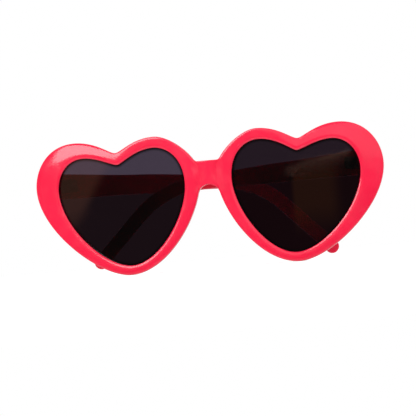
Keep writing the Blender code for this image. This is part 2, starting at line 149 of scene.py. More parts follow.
def makeCamera():
    turn, rise, roll = (math.radians(camera[k]) for k in ("turn", "rise", "roll"))
    right = Vector((math.cos(turn), math.sin(turn), 0))
    level = math.cos(rise)
    ahead = Vector((-math.sin(turn) * level, math.cos(turn) * level, -math.sin(rise)))
    up = right.cross(ahead)
    aim = right * camera["aimRight"] + up * camera["aimUp"]
    view = bpy.data.cameras.new("camera")
    magnified = camera["pixelsPerMetre"] * camera["distance"]
    view.lens = magnified * camera["sensor"] / camera["pictureWidth"]
    view.clip_end = camera["clip"] * camera["distance"]
    made = newObject("camera", view)
    across = right * math.cos(roll) - up * math.sin(roll)
    upward = right * math.sin(roll) + up * math.cos(roll)
    spot = aim - ahead * camera["distance"]
    made.matrix_world = Matrix(
        [(across[i], upward[i], -ahead[i], spot[i]) for i in range(3)] + [(0, 0, 0, 1)]
    )
    bpy.context.scene.camera = made


makeCamera()
print("camera placed")

smoothly = {"interpolation_type": "SMOOTHSTEP"}     # how a value passes between two levels

# Polycarbonate, injection moulded in a polished tool: even saturated colour under a clear gloss,
# with a faint drift along the melt's flow, the tool's soft ripple and patches dulled by fingers
coral = {
    "colour": "#f71d45",
    "flowColour": "#f21a42",
    "edgeColour": "#f93a59",    # rubbed corners scatter more light
    "edgeLevels": {**smoothly, "From Min": 0.53, "From Max": 0.62, "To Max": 0.5},
    # metres, as all distances here
    "flow": {"every": 0.0075, "detail": 3.0, "stretch": (0.35, 1.0, 1.0), "distortion": 0.6},
    "flowLevels": {**smoothly, "From Min": 0.42, "From Max": 0.66},
    "ripple": {"every": 0.0012, "detail": 1.0},
    "rippleDepth": 0.0000012,
    "haze": {"every": 0.0032, "detail": 4.0},
    "roughness": {
        **smoothly, "From Min": 0.38, "From Max": 0.68, "To Min": 0.14, "To Max": 0.21,
    },
    # real hairlines are 0.02 mm, too fine to show, so drawn coarser
    "scratches": {"every": 0.0002, "detail": 2.0, "stretch": (0.05, 1.0, 1.0), "lean": 0.5},
    "scratchLevels": {**smoothly, "From Min": 0.62, "From Max": 0.74, "To Max": 0.06},
    "ior": 1.585,
}


def makeCoral():
    made, tree, shader = newMaterial("coral moulded polycarbonate", {"IOR": coral["ior"]})
    flow = layPattern(tree, **coral["flow"])
    haze = layPattern(tree, **coral["haze"])
    ripple = layPattern(tree, **coral["ripple"])
    lines = layPattern(tree, **coral["scratches"])
    corner = addNode(tree, "ShaderNodeNewGeometry").outputs["Pointiness"]
    drift = addNode(tree, "ShaderNodeMapRange", coral["flowLevels"], {"Value": flow})
    shades = {
        "data_type": "RGBA",
        "A": hexToLinear(coral["colour"]), "B": hexToLinear(coral["flowColour"]),
    }
    tone = addNode(tree, "ShaderNodeMix", shades, {"Factor": drift})
    rubbed = addNode(tree, "ShaderNodeMapRange", coral["edgeLevels"], {"Value": corner})
    shades = {"data_type": "RGBA", "B": hexToLinear(coral["edgeColour"])}
    colour = addNode(tree, "ShaderNodeMix", shades, {"Factor": rubbed, "A": tone})
    dull = addNode(tree, "ShaderNodeMapRange", coral["roughness"], {"Value": haze})
    scored = addNode(tree, "ShaderNodeMapRange", coral["scratchLevels"], {"Value": lines})
    rough = addNode(tree, "ShaderNodeMath", {"operation": "ADD"}, {0: dull, 1: scored})
    relief = addNode(tree, "ShaderNodeBump", {"Distance": coral["rippleDepth"]}, {"Height": ripple})
    feed(tree, shader, {"Base Color": colour, "Roughness": rough, "Normal": relief})
    return made


# Acrylic sheet dyed smoke grey, polished, die cut and bent: near black with a clear sharp gloss,
# which only smears from fingers and a little dust make uneven; painted shadow beside its groove
smoke = {
    "colour": "#2d2630",
    # painted shadow of the rim's groove, near the lens's edge
    "grooveShadowColour": "#0b080b",
    "smear": {
        "every": 0.0065, "detail": 5.0, "stretch": (0.4, 1.0, 1.0), "lean": 0.6,
        "distortion": 0.4,
    },
    "roughness": {
        **smoothly, "From Min": 0.40, "From Max": 0.70, "To Min": 0.012, "To Max": 0.05,
    },
    "dustEvery": 0.0011,        # real dust is finer, so each speck stands for a few
    "dustLevels": {**smoothly, "From Min": 0.13, "From Max": 0.05, "To Max": 0.10},
    "ior": 1.49,
}


def makeSmoke():
    made, tree, shader = newMaterial(
        "smoke dyed acrylic sheet", {"Transmission Weight": 1.0, "IOR": smoke["ior"]}
    )
    # the painted groove shadow, darkest at the lens's edge
    beside = addNode(tree, "ShaderNodeAttribute", {"attribute_name": "painted groove shadow"})
    shades = {
        "data_type": "RGBA",
        "A": hexToLinear(smoke["colour"]), "B": hexToLinear(smoke["grooveShadowColour"]),
    }
    colour = addNode(tree, "ShaderNodeMix", shades, {"Factor": beside.outputs["Fac"]})
    smear = layPattern(tree, **smoke["smear"])
    place = addNode(tree, "ShaderNodeTexCoord").outputs["Object"]
    cells = {"Scale": 1 / smoke["dustEvery"]}
    dust = addNode(tree, "ShaderNodeTexVoronoi", cells, {"Vector": place})
    specks = addNode(tree, "ShaderNodeMapRange", smoke["dustLevels"], {"Value": dust})
    dull = addNode(tree, "ShaderNodeMapRange", smoke["roughness"], {"Value": smear})
    rough = addNode(tree, "ShaderNodeMath", {"operation": "ADD"}, {0: dull, 1: specks})
    feed(tree, shader, {"Base Color": colour, "Roughness": rough})
    return made


# Brass strip, pressed, then nickel plated: warm grey, with fine lines of the rolled strip along it
# and brass that shows faintly where the plating has rubbed off the corners
plated = {
    "colour": "#d9d4ca",
    "bareColour": "#c8ab72",
    "bareLevels": {**smoothly, "From Min": 0.54, "From Max": 0.62, "To Max": 0.3},
    # real rolling lines are 0.01 mm, so these are drawn coarser
    "lines": {"every": 0.00012, "detail": 2.0, "stretch": (0.06, 0.06, 1.0)},
    "lineDepth": 0.0000010,
    "stain": {"every": 0.0016, "detail": 3.0},
    "roughness": {
        **smoothly, "From Min": 0.35, "From Max": 0.70, "To Min": 0.20, "To Max": 0.36,
    },
}


def makePlated():
    made, tree, shader = newMaterial("nickel plated pressed brass", {"Metallic": 1.0})
    lines = layPattern(tree, **plated["lines"])
    stain = layPattern(tree, **plated["stain"])
    corner = addNode(tree, "ShaderNodeNewGeometry").outputs["Pointiness"]
    bare = addNode(tree, "ShaderNodeMapRange", plated["bareLevels"], {"Value": corner})
    shades = {
        "data_type": "RGBA",
        "A": hexToLinear(plated["colour"]), "B": hexToLinear(plated["bareColour"]),
    }
    colour = addNode(tree, "ShaderNodeMix", shades, {"Factor": bare})
    rough = addNode(tree, "ShaderNodeMapRange", plated["roughness"], {"Value": stain})
    relief = addNode(tree, "ShaderNodeBump", {"Distance": plated["lineDepth"]}, {"Height": lines})
    feed(tree, shader, {"Base Color": colour, "Roughness": rough, "Normal": relief})
    return made


# Free cutting steel, turned on a lathe and left bright: cooler than nickel, with the tool's rings
turned = {
    "colour": "#c6c9cc",
    "hollowColour": "#8d8983",   # darker where the surface turns inward: the slot and under the head
    "opennessLevels": {**smoothly, "From Min": 0.42, "From Max": 0.49},
    "ringEvery": 0.00022,       # the real feed is about 0.03 mm a turn, so drawn coarser
    "ringScale": 0.314,         # Blender's scale for rings a metre apart
    "ringWobble": 0.3,
    "ringDepth": 0.0000014,
    "roughness": {**smoothly, "From Min": 0.2, "From Max": 0.8, "To Min": 0.16, "To Max": 0.30},
}


def makeTurned(centre):
    made, tree, shader = newMaterial("bright turned steel", {"Metallic": 1.0})
    place = addNode(tree, "ShaderNodeTexCoord").outputs["Object"]
    mirrored = addNode(tree, "ShaderNodeVectorMath", {"operation": "ABSOLUTE"}, {0: place})
    toAxis = {"operation": "SUBTRACT", 1: (abs(centre.x), centre.y, 0)}
    about = addNode(tree, "ShaderNodeVectorMath", toAxis, {0: mirrored})
    grooves = {
        "wave_type": "RINGS", "rings_direction": "Z",
        "Scale": turned["ringScale"] / turned["ringEvery"], "Distortion": turned["ringWobble"],
    }
    rings = addNode(tree, "ShaderNodeTexWave", grooves, {"Vector": about}).outputs["Fac"]
    # darker where the surface turns inward, in the slot and under the head
    corner = addNode(tree, "ShaderNodeNewGeometry").outputs["Pointiness"]
    openness = addNode(tree, "ShaderNodeMapRange", turned["opennessLevels"], {"Value": corner})
    shades = {
        "data_type": "RGBA",
        "A": hexToLinear(turned["hollowColour"]), "B": hexToLinear(turned["colour"]),
    }
    colour = addNode(tree, "ShaderNodeMix", shades, {"Factor": openness})
    rough = addNode(tree, "ShaderNodeMapRange", turned["roughness"], {"Value": rings})
    relief = addNode(tree, "ShaderNodeBump", {"Distance": turned["ringDepth"]}, {"Height": rings})
    feed(tree, shader, {"Base Color": colour, "Roughness": rough, "Normal": relief})
    return made


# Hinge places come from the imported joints
axes = {joint["child"]: Vector(joint["pos_m"]) for joint in frame["joints"]}

coralPlastic = makeCoral()
smokeLens = makeSmoke()
nickel = makePlated()
screwSteel = makeTurned(axes["left_arm"])
print("materials mixed")

# Front moulding: both heart rims and the bridge in one skin
front = {
    "heartWidth": 0.03915,
    "heartHeight": 0.0319,
    "heartGap": 0.0037,
    "tipBelowSaddle": 0.01971,
    "crestAhead": 0.0017,
    "thickness": 0.0030,
    "wrapRadius": 0.145,
    "lipDepth": 0.00034,
    "lipCurve": 3.3,
    "lipWidth": 0.00095,
    "lipShare": 0.42,       # the lip takes at most this share of a narrow rim
    "lipPlaces": (0.03, 0.12, 0.24, 0.36, 0.48, 0.6, 0.72, 0.84, 0.94),
    "lipStep": 0.0001,
    "faceFall": (       # place round the heart, and how far back the face slants there
        (0.0, 0.00012), (0.5, 0.00025), (1.0, 0.00025), (1.5, 0.0005), (2.0, 0.00095),
        (2.5, 0.0010), (3.0, 0.0010), (3.4, 0.0007), (3.75, 0.00029), (4.25, 0.00022),
        (4.6, 0.00004), (5.0, 0.00002), (5.5, 0.00003), (6.0, 0.00012),
    ),
    "fallCurve": 1.2,
    "crownStart": 0.08,
    "crownSteps": 14,
    "edgeRound": 0.0004,
    "edgeCurve": 6,
    "backEdge": 0.0003,
    "backRound": 0.3,
    "backSteps": 9,
    "grooveDepth": 0.0006,
    "grooveWidth": 0.0012,
    "grooveBehindCrest": 0.00112,
    "bridgeTop": 0.00562,
    "bridgeFillet": 0.0009,
    "bridgeSetBack": 0.00043,
    "bridgeSetBackFrom": 0.3,
    "bridgeBow": 0.00045,
    "bridgeRoll": 0.00022,
    "bridgeRollEnds": 8,
    "bridgeBackStep": 0.0002,
    "bridgeBlend": 0.0024,
    "bridgeRows": 40,
    "bridgeColumns": 20,
    "stationEvery": 0.00042,
    "samples": 240,         # to each span of the outline
    "topSearch": (5.2, 5.999),      # where round the heart the bridge's top and its arch may start
    "archSearch": (0.02, 0.6),
    "sharpAngle": 32,
}
# Outline nodes: x and z as shares of the heart, heading, reach before and after
heartOutline = (
    (0.0, 0.701, "down", 0.121, 0.281),
    (0.461, 0.0, "out", 0.235, 0.186),
    (1.0, 0.679, "up", 0.310, 0.150),
    (0.749, 1.0, "in", 0.166, 0.134),
    (0.503, 0.903, "in", 0.032, 0.038),
    (0.262, 1.0, "in", 0.132, 0.103),
)
openingOutline = (
    (0.094, 0.645, "down", 0.192, 0.236),
    (0.450, 0.069, "out", 0.166, 0.156),
    (0.862, 0.654, "up", 0.275, 0.096),
    (0.699, 0.882, "in", 0.116, 0.087),
    (0.494, 0.815, "in", 0.032, 0.025),
    (0.268, 0.919, "in", 0.114, 0.078),
)
headings = {"down": (0, -1), "out": (1, 0), "up": (0, 1), "in": (-1, 0)}


def wrap(x):
    # depth of the front's crest at this distance from the middle
    return x * x / (2 * front["wrapRadius"]) - front["crestAhead"]


def outlineAt(nodes, place):
    # point and outward normal at a place along an outline: number of the span, plus the share of it
    span = int(place) % len(nodes)
    t = place - int(place)
    x, z, heading, _, reach = nodes[span]
    nextX, nextZ, nextHeading, nextReach, _ = nodes[(span + 1) % len(nodes)]
    start, end = Vector((x, z)), Vector((nextX, nextZ))
    leave = start + Vector(headings[heading]) * reach
    arrive = end - Vector(headings[nextHeading]) * nextReach
    spot = start * (1 - t) ** 3 + leave * 3 * (1 - t) ** 2 * t
    spot += arrive * 3 * (1 - t) * t * t
    spot += end * t**3
    slope = (leave - start) * 3 * (1 - t) ** 2
    slope += (arrive - leave) * 6 * (1 - t) * t
    slope += (end - arrive) * 3 * t * t
    wide, high = front["heartWidth"], front["heartHeight"]
    point = Vector((front["heartGap"] / 2 + spot.x * wide, spot.y * high - front["tipBelowSaddle"]))
    along = Vector((slope.x * wide, slope.y * high)).normalized()
    return point, Vector((along.y, -along.x))


def solvePlace(low, high, value):
    # halving, for a place where value(place) is zero
    side = value(low) > 0
    for _ in range(50):
        middle = (low + high) / 2
        if (value(middle) > 0) == side:
            low = middle
        else:
            high = middle
    return (low + high) / 2


def filletValue(place):
    point, normal = outlineAt(heartOutline, place)
    return point.y + normal.y * front["bridgeFillet"] - front["bridgeTop"] - front["bridgeFillet"]


def archCircle(place):
    # circle through the middle plane that touches the outline here: radius and height of its centre
    point, normal = outlineAt(heartOutline, place)
    radius = -point.x / normal.x
    return radius, point.y + normal.y * radius


def makeStations():
    # places round the heart at even distances; the bridge's rows come first, closest at their ends
    spans = len(heartOutline)
    places = np.linspace(0, spans, spans * front["samples"] + 1)
    points = np.array([tuple(outlineAt(heartOutline, p)[0]) for p in places])
    run = np.concatenate([[0], np.cumsum(np.hypot(*np.diff(points, axis=0).T))])
    top = solvePlace(*front["topSearch"], filletValue)
    low = solvePlace(*front["archSearch"], lambda p: sum(archCircle(p)))
    total = run[-1]
    topRun, lowRun = np.interp(top, places, run), np.interp(low, places, run) + total
    rows = front["bridgeRows"]
    shares = [(1 - math.cos(math.pi * i / rows)) / 2 for i in range(rows + 1)]
    shared = [topRun + (lowRun - topRun) * s for s in shares]
    rest = total - (lowRun - topRun)
    count = round(rest / front["stationEvery"])
    others = [lowRun + rest * i / count for i in range(1, count)]
    found = [float(np.interp(r % total, run, places)) % spans for r in shared + others]
    near = [min(r - shared[0], shared[-1] - r) for r in shared] + [0] * len(others)
    weights = [smooth(n / front["bridgeBlend"]) for n in near]
    return found, weights, top, low


def rimRing(place, weight):
    # one section of the rim: lip, crown, edge, back and lens groove, and the edge's corners
    inner, innerNormal = outlineAt(openingOutline, place)
    outer, outerNormal = outlineAt(heartOutline, place)
    lip = min(front["lipWidth"], front["lipShare"] * (outer - inner).length)
    thick, backEdge = front["thickness"], front["backEdge"]

    def put(spot, depth):
        return Vector((spot.x, wrap(spot.x) + depth, spot.y))

    slant = float(np.interp(place % len(heartOutline), *zip(*front["faceFall"])))
    ring = [put(inner, front["lipDepth"] + front["lipStep"])]
    for share in front["lipPlaces"]:
        depth = front["lipDepth"] * (1 - share) ** front["lipCurve"]
        ring.append(put(inner + innerNormal * lip * share, depth))
    near = inner + innerNormal * lip
    ring.append(put(near, 0.0))
    steps, setBackFrom = front["crownSteps"], front["bridgeSetBackFrom"]
    for step in range(1, steps + 1):
        share = mix(front["crownStart"], 1, math.sin(math.pi / 2 * step / steps))
        fall = slant * share ** front["fallCurve"]
        fall += front["edgeRound"] * (1 - math.sqrt(max(1 - share ** front["edgeCurve"], 0)))
        level = front["bridgeSetBack"] * smooth((share - setBackFrom) / (1 - setBackFrom))
        ring.append(put(near.lerp(outer, share), mix(fall, level, weight)))
    frontCorner = len(ring) - 1
    edgeBack = mix(thick - backEdge, thick - front["bridgeBackStep"], weight)
    ring.append(put(outer, edgeBack))
    backCorner = len(ring) - 1
    cut = front["backRound"]
    ring.append(put(outer - outerNormal * backEdge * cut, mix(edgeBack, thick, 1 - cut)))
    start, end = outer - outerNormal * backEdge, inner + innerNormal * backEdge
    for step in range(front["backSteps"] + 1):
        ring.append(put(start.lerp(end, step / front["backSteps"]), thick))
    ring.append(put(inner + innerNormal * backEdge * cut, thick - backEdge * cut))
    ring.append(put(inner, thick - backEdge))
    grooveFront = front["grooveBehindCrest"]
    grooveBack = grooveFront + front["grooveWidth"]
    ring.append(put(inner, grooveBack))
    ring.append(put(inner + innerNormal * front["grooveDepth"], grooveBack))
    ring.append(put(inner + innerNormal * front["grooveDepth"], grooveFront))
    ring.append(put(inner, grooveFront))
    return ring, frontCorner, backCorner


def makeFrontMoulding():
    places, weights, top, low = makeStations()
    rings = [rimRing(p, w) for p, w in zip(places, weights)]
    frontCorner, backCorner = rings[0][1:]
    rings = [r[0] for r in rings]
    count, size, rows = len(rings), len(rings[0]), front["bridgeRows"]
    points, faces = [], []
    for side in (1, -1):
        points += [Vector((side * p.x, p.y, p.z)) for ring in rings for p in ring]
    for side in (0, 1):
        base = side * count * size
        for i in range(count):
            for k in range(size):
                if i < rows and k == frontCorner:
                    continue
                here, there = base + i * size, base + (i + 1) % count * size
                after = (k + 1) % size
                faces.append((here + k, here + after, there + after, there + k))
    # the bridge: rows between the two rims' edges, front and back, closed along its top and arch
    columns, fillet = front["bridgeColumns"], front["bridgeFillet"]
    topPoint, topNormal = outlineAt(heartOutline, top)
    filletX = topPoint.x + topNormal.x * fillet
    radius, centre = archCircle(low)
    first, last = rings[0][frontCorner], rings[rows][frontCorner]

    def topAt(x):
        past = max(abs(x) - filletX, 0)
        return front["bridgeTop"] + fillet - math.sqrt(max(fillet**2 - past**2, 0))

    def archAt(x):
        return centre + math.sqrt(max(radius**2 - x * x, 0))

    def rollAt(gap):
        # how far the bridge's front face rolls back this close to its top or its arch
        short = 1 - min(max(gap, 0) / front["bridgeRoll"], 1)
        return front["bridgeRoll"] * (1 - math.sqrt(1 - short * short))

    grids = []
    for corner in (frontCorner, backCorner):
        grid = []
        for i in range(rows + 1):
            edge = rings[i][corner]
            share = (first.z - edge.z) / (first.z - last.z)
            line = [i * size + corner]
            for j in range(1, columns):
                c = 1 - 2 * j / columns
                x = c * edge.x
                topZ, archZ = topAt(c * first.x), archAt(c * last.x)
                z = edge.z + (1 - share) * (topZ - first.z) + share * (archZ - last.z)
                y = wrap(x) + edge.y - wrap(edge.x)
                if corner == frontCorner:
                    roll = rollAt(topZ - z) + rollAt(z - archZ)
                    roll *= 1 - c ** front["bridgeRollEnds"]
                    y += roll - front["bridgeBow"] * (1 - c * c)
                line.append(len(points))
                points.append(Vector((x, y, z)))
            line.append(count * size + i * size + corner)
            grid.append(line)
        grids.append(grid)
    for grid in grids:
        for i in range(rows):
            for j in range(columns):
                faces.append((grid[i][j], grid[i][j + 1], grid[i + 1][j + 1], grid[i + 1][j]))
    for i in (0, rows):
        for j in range(columns):
            faces.append((grids[0][i][j], grids[0][i][j + 1], grids[1][i][j + 1], grids[1][i][j]))
    sharp = front["sharpAngle"]
    piece = newPiece("front_moulding", points, faces, coralPlastic, "front", sharp)
    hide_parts("front_frame")


makeFrontMoulding()
print("front moulded")

# Lenses: bent sheet with its edge in the rim's groove
lens = {
    "thickness": 0.0010,
    "clearance": 0.00012,
    "edgeSteps": 240,
    "rings": 13,
    "insets": (     # how far in from the edge, and how much painted groove shadow darkens it there
        (0, 1), (0.0003, 1), (0.0006, 1), (0.0008, 0.85), (0.0010, 0.4), (0.0013, 0),
    ),
}


def makeLens(side, word):
    reach = front["grooveDepth"] - lens["clearance"]
    face = front["grooveBehindCrest"] + (front["grooveWidth"] - lens["thickness"]) / 2
    count, insets, rings = lens["edgeSteps"], lens["insets"], lens["rings"]
    spans = len(openingOutline)
    outline = [outlineAt(openingOutline, spans * step / count) for step in range(count)]
    loops = [[point + normal * (reach - inset) for point, normal in outline] for inset, _ in insets]
    edge = loops[-1]
    middle = sum(edge, Vector((0, 0))) / count
    for ring in range(1, rings):
        loops.append([middle.lerp(spot, 1 - ring / rings) for spot in edge])
    points, faces = [], []
    for depth in (face, face + lens["thickness"]):
        for spot in [spot for loop in loops for spot in loop] + [middle]:
            points.append((side * spot.x, wrap(spot.x) + depth, spot.y))
    layer = count * len(loops) + 1
    for base in (0, layer):
        faces += bandFaces(base, count, len(loops))
        last = base + (len(loops) - 1) * count
        for step in range(count):
            faces.append((last + step, last + (step + 1) % count, base + layer - 1))
    for step in range(count):
        after = (step + 1) % count
        faces.append((step, after, layer + after, layer + step))
    piece = newPiece(word + "_smoke_lens", points, faces, smokeLens, "front")
    # how much painted groove shadow each point takes
    beside = piece.data.attributes.new("painted groove shadow", "FLOAT", "POINT")
    for index in range(len(points)):
        ring = index % layer // count
        beside.data[index].value = insets[ring][1] if ring < len(insets) else 0
    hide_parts(word + "_lens")


makeLens(1, "left")
makeLens(-1, "right")
print("lenses fitted")

# Nose pads: rounded swellings of the moulding behind the inner rims
pad = {
    "length": 0.0064,
    "width": 0.0020,
    "rise": 0.0015,
    "sink": 0.0006,
    "below": 0.0085,
    "out": 0.0067,
    "lean": 29,         # degrees
    "segments": 40,
    "rings": 24,
}


def makePad(side, word):
    work = bmesh.new()
    bmesh.ops.create_uvsphere(work, u_segments=pad["segments"], v_segments=pad["rings"], radius=1)
    lean = math.radians(pad["lean"])
    points = []
    for vert in work.verts:
        x, y, z = vert.co
        x, y, z = x * pad["width"] / 2, y * (pad["rise"] + pad["sink"]), z * pad["length"] / 2
        x, z = x * math.cos(lean) - z * math.sin(lean), x * math.sin(lean) + z * math.cos(lean)
        back = wrap(pad["out"]) + front["thickness"] - pad["sink"]
        points.append((side * (x + pad["out"]), y + back, z - pad["below"]))
    faces = [[v.index for v in f.verts] for f in work.faces]
    work.free()
    newPiece(word + "_nose_pad", points, faces, coralPlastic, "front", 180)


makePad(1, "left")
makePad(-1, "right")

# Arms: straight run, long bend and hook, flat inside and rounded outside
arm = {
    "thickness": 0.0017,
    "tipThickness": 0.0015,
    "rootHeight": 0.0060,
    "middleHeight": 0.0047,
    "bendHeight": 0.0034,
    "tipHeight": 0.0033,
    "reach": 0.0485,
    "drop": 2.6,            # degrees
    "hookLength": {"left": 0.0246, "right": 0.0256},
    "hookSlope": 45.5,      # degrees
    "bendRadius": 0.022,
    "fold": {"left": -6.5, "right": 12.5},      # degrees behind the front
    "fromAxis": 0.00115,
    "rootGap": 0.00015,
    "rootRound": 0.00012,
    "leanStations": 3,      # the mitred root turns into a square section over these
    "straightSteps": 30,
    "bendSteps": 20,
    "hookSteps": 15,
    "tipAngles": (12, 24, 36, 48, 58, 67, 75, 82, 87),
    "tipTaper": 0.85,
    "innerRounding": (0.00035, 0.2),        # and the most that it takes of the height
    "outerRounding": (0.00075, 0.3),
    "roundSteps": 6,
    "bulge": 0.00012,
    "flatMost": 0.0008,     # longer flats are cut up, so that they can bulge
    "flatSteps": 7,
    "sharpAngle": 50,
}


def armSection(height, thickness):
    # outline of the arm's section, out from the wearer's side
    points = []
    roundings = (arm["innerRounding"], arm["outerRounding"])
    inner, outer = [min(most, height * share) for most, share in roundings]
    body = thickness - arm["bulge"]
    corners = (
        (inner, -height / 2 + inner, inner, 180),
        (body - outer, -height / 2 + outer, outer, 270),
        (body - outer, height / 2 - outer, outer, 0),
        (inner, height / 2 - inner, inner, 90),
    )
    for x, z, radius, start in corners:
        for step in range(arm["roundSteps"] + 1):
            angle = math.radians(start + 90 * step / arm["roundSteps"])
            points.append((x + radius * math.cos(angle), z + radius * math.sin(angle)))
    shares = [k / arm["flatSteps"] for k in range(1, arm["flatSteps"])]
    fine = []
    for (x, z), (nextX, nextZ) in zip(points, points[1:] + points[:1]):
        fine.append((x, z))
        if math.hypot(nextX - x, nextZ - z) > arm["flatMost"]:
            fine += [(mix(x, nextX, share), mix(z, nextZ, share)) for share in shares]
    return [(x + arm["bulge"] * (x / body) * (1 - (2 * z / height) ** 2), z) for x, z in fine]


def armStations(word):
    # distance back, height, slope, and the shares of the straight run and of the hook
    drop, slope = math.radians(arm["drop"]), math.radians(arm["hookSlope"])
    turn, radius = slope - drop, arm["bendRadius"]
    tangent = radius * math.tan(turn / 2)
    straight = arm["reach"] / math.cos(drop) - tangent
    found = []
    for step in range(arm["straightSteps"] + 1):
        along = mix(arm["rootGap"], straight, step / arm["straightSteps"])
        found.append((along * math.cos(drop), -along * math.sin(drop), drop, along / straight, 0))
    hook = arm["hookLength"][word] - tangent
    total = radius * turn + hook
    y, z = straight * math.cos(drop), -straight * math.sin(drop)
    for step in range(1, arm["bendSteps"] + 1):
        lean = drop + turn * step / arm["bendSteps"]
        back = y + radius * (math.sin(lean) - math.sin(drop))
        high = z - radius * (math.cos(drop) - math.cos(lean))
        found.append((back, high, lean, 1, radius * (lean - drop) / total))
    y, z = found[-1][:2]
    for step in range(1, arm["hookSteps"] + 1):
        along = (hook - arm["tipHeight"] / 2) * step / arm["hookSteps"]
        share = min((radius * turn + along) / total, 1)
        found.append((y + along * math.cos(slope), z - along * math.sin(slope), slope, 1, share))
    return found


def armHeight(run, hook):
    if hook > 0:
        return mix(arm["bendHeight"], arm["tipHeight"], smooth(hook))
    if run < 0.5:
        return mix(arm["rootHeight"], arm["middleHeight"], smooth(run * 2))
    return mix(arm["middleHeight"], arm["bendHeight"], smooth(run * 2 - 1))


def makeArm(side, word):
    body = word + "_arm"
    fromAxis, rootRound = arm["fromAxis"], arm["rootRound"]
    rings = []
    stations = armStations(word)
    for index, (back, up, slope, run, hook) in enumerate(stations):
        height = armHeight(run, hook)
        thickness = mix(arm["thickness"], arm["tipThickness"], hook)
        if index == 0:
            # a small round at the mitred root
            for share in (0.0, rootRound):
                cut = rootRound - share
                near = fromAxis + cut
                ring = armSection(height - 2 * cut, thickness - 2 * cut)
                rings.append([(near + out, back + share, up + over) for out, over in ring])
            continue
        lean = slope * smooth(index / arm["leanStations"])
        ring = []
        for out, over in armSection(height, thickness):
            ring.append((fromAxis + out, back + over * math.sin(lean), up + over * math.cos(lean)))
        rings.append(ring)
    back, up, slope = stations[-1][:3]
    across, upward = math.sin(slope), math.cos(slope)
    radius, half = arm["tipHeight"] / 2, arm["tipThickness"] / 2
    section = armSection(arm["tipHeight"], arm["tipThickness"])
    for angle in arm["tipAngles"]:
        # the half round end, thinner towards its tip
        far, shrink = radius * math.sin(math.radians(angle)), math.cos(math.radians(angle))
        thin = mix(1, shrink, arm["tipTaper"])
        ring = [(half + (out - half) * thin, over * shrink) for out, over in section]
        y, z = back + far * upward, up - far * across
        rings.append([(fromAxis + out, y + over * across, z + over * upward) for out, over in ring])
    count = len(rings[0])
    points = [p for ring in rings for p in ring]
    faces = [tuple(range(count)), tuple(range(len(points) - count, len(points)))]
    faces += bandFaces(0, count, len(rings))
    turn = side * (math.pi / 2 - math.radians(arm["fold"][word]))
    place = Matrix.Translation(axes[body]) @ Matrix.Rotation(turn, 4, "Z")
    place = place @ Matrix.Diagonal((side, 1, 1, 1))
    points = [place @ Vector(p) for p in points]
    name, sharp = word + "_arm_moulding", arm["sharpAngle"]
    piece = newPiece(name, points, faces, coralPlastic, body, sharp)
    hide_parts(word + "_temple")


makeArm(1, "left")
makeArm(-1, "right")
print("arms folded")

# End pieces: blocks that flare into the outer rims' backs, each with the lug that its arm closes on
endPiece = {
    "halfHeight": 0.0032,
    "inner": -0.0016,
    "outer": 0.00285,
    "lugInner": 0.00115,
    "front": -0.0059,
    "seat": -0.00245,
    "back": -0.00015,
    "flare": 0.0011,
    "tuck": 0.0012,
    "levels": 6,
    "rounding": 0.0004,
    "roundSteps": 4,
    "sharpAngle": 40,
}


def makeEndPiece(side, word):
    e = endPiece
    work = bmesh.new()

    def cornersAt(y, inner):
        # bottom and top corners, inner ones first: taller towards the rim, and tucked in there
        toRim = max(e["seat"] - y, 0) / (e["seat"] - e["front"])
        high = e["halfHeight"] + e["flare"] * toRim**2
        outer = e["outer"] - e["tuck"] * toRim**2
        spots = ((inner, -high), (outer, -high), (outer, high), (inner, high))
        return [work.verts.new((x, y, z)) for x, z in spots]

    levels = [mix(e["front"], e["seat"], k / e["levels"]) for k in range(e["levels"] + 1)]
    rings = [cornersAt(y, e["inner"]) for y in levels]
    seat, back = rings[-1], cornersAt(e["back"], e["lugInner"])
    step = [work.verts.new((e["lugInner"], e["seat"], sign * e["halfHeight"])) for sign in (-1, 1)]
    work.faces.new(rings[0])
    for here, there in zip(rings, rings[1:]):
        for k in range(4):
            corners = [here[k], here[(k + 1) % 4], there[(k + 1) % 4], there[k]]
            if there is seat and k == 0:
                corners.insert(3, step[0])
            if there is seat and k == 2:
                corners.insert(3, step[1])
            work.faces.new(corners)
    work.faces.new((seat[0], step[0], step[1], seat[3]))
    work.faces.new((step[0], seat[1], back[1], back[0]))
    work.faces.new((seat[1], seat[2], back[2], back[1]))
    work.faces.new((seat[2], step[1], back[3], back[2]))
    work.faces.new((step[1], step[0], back[0], back[3]))
    work.faces.new(back)
    bmesh.ops.recalc_face_normals(work, faces=work.faces)
    sharp = [edge for edge in work.edges if edge.calc_face_angle(0) > math.radians(e["sharpAngle"])]
    bmesh.ops.bevel(
        work, geom=sharp, offset=e["rounding"], segments=e["roundSteps"],
        profile=0.5, affect="EDGES",
    )
    work.verts.index_update()
    place = Matrix.Translation(axes[word + "_arm"]) @ Matrix.Diagonal((side, 1, 1, 1))
    points = [place @ v.co for v in work.verts]
    faces = [[v.index for v in f.verts] for f in work.faces]
    work.free()
    name = word + "_end_piece"
    newPiece(name, points, faces, coralPlastic, "front", e["sharpAngle"])


makeEndPiece(1, "left")
makeEndPiece(-1, "right")

# Hinges and screws: the solids themselves, with their stamped and turned edges a little worn
hinge = {"edge": 0.00006, "segments": 2}

for name, node in frame["nodes"].items():
    if "hinge" in name:
        node.material_slots[0].material = screwSteel if "screw" in name else nickel
        rounding = node.modifiers.new("worn edges", "BEVEL")
        rounding.width = hinge["edge"]
        rounding.segments = hinge["segments"]
        rounding.limit_method = "ANGLE"
print("hinges dressed")

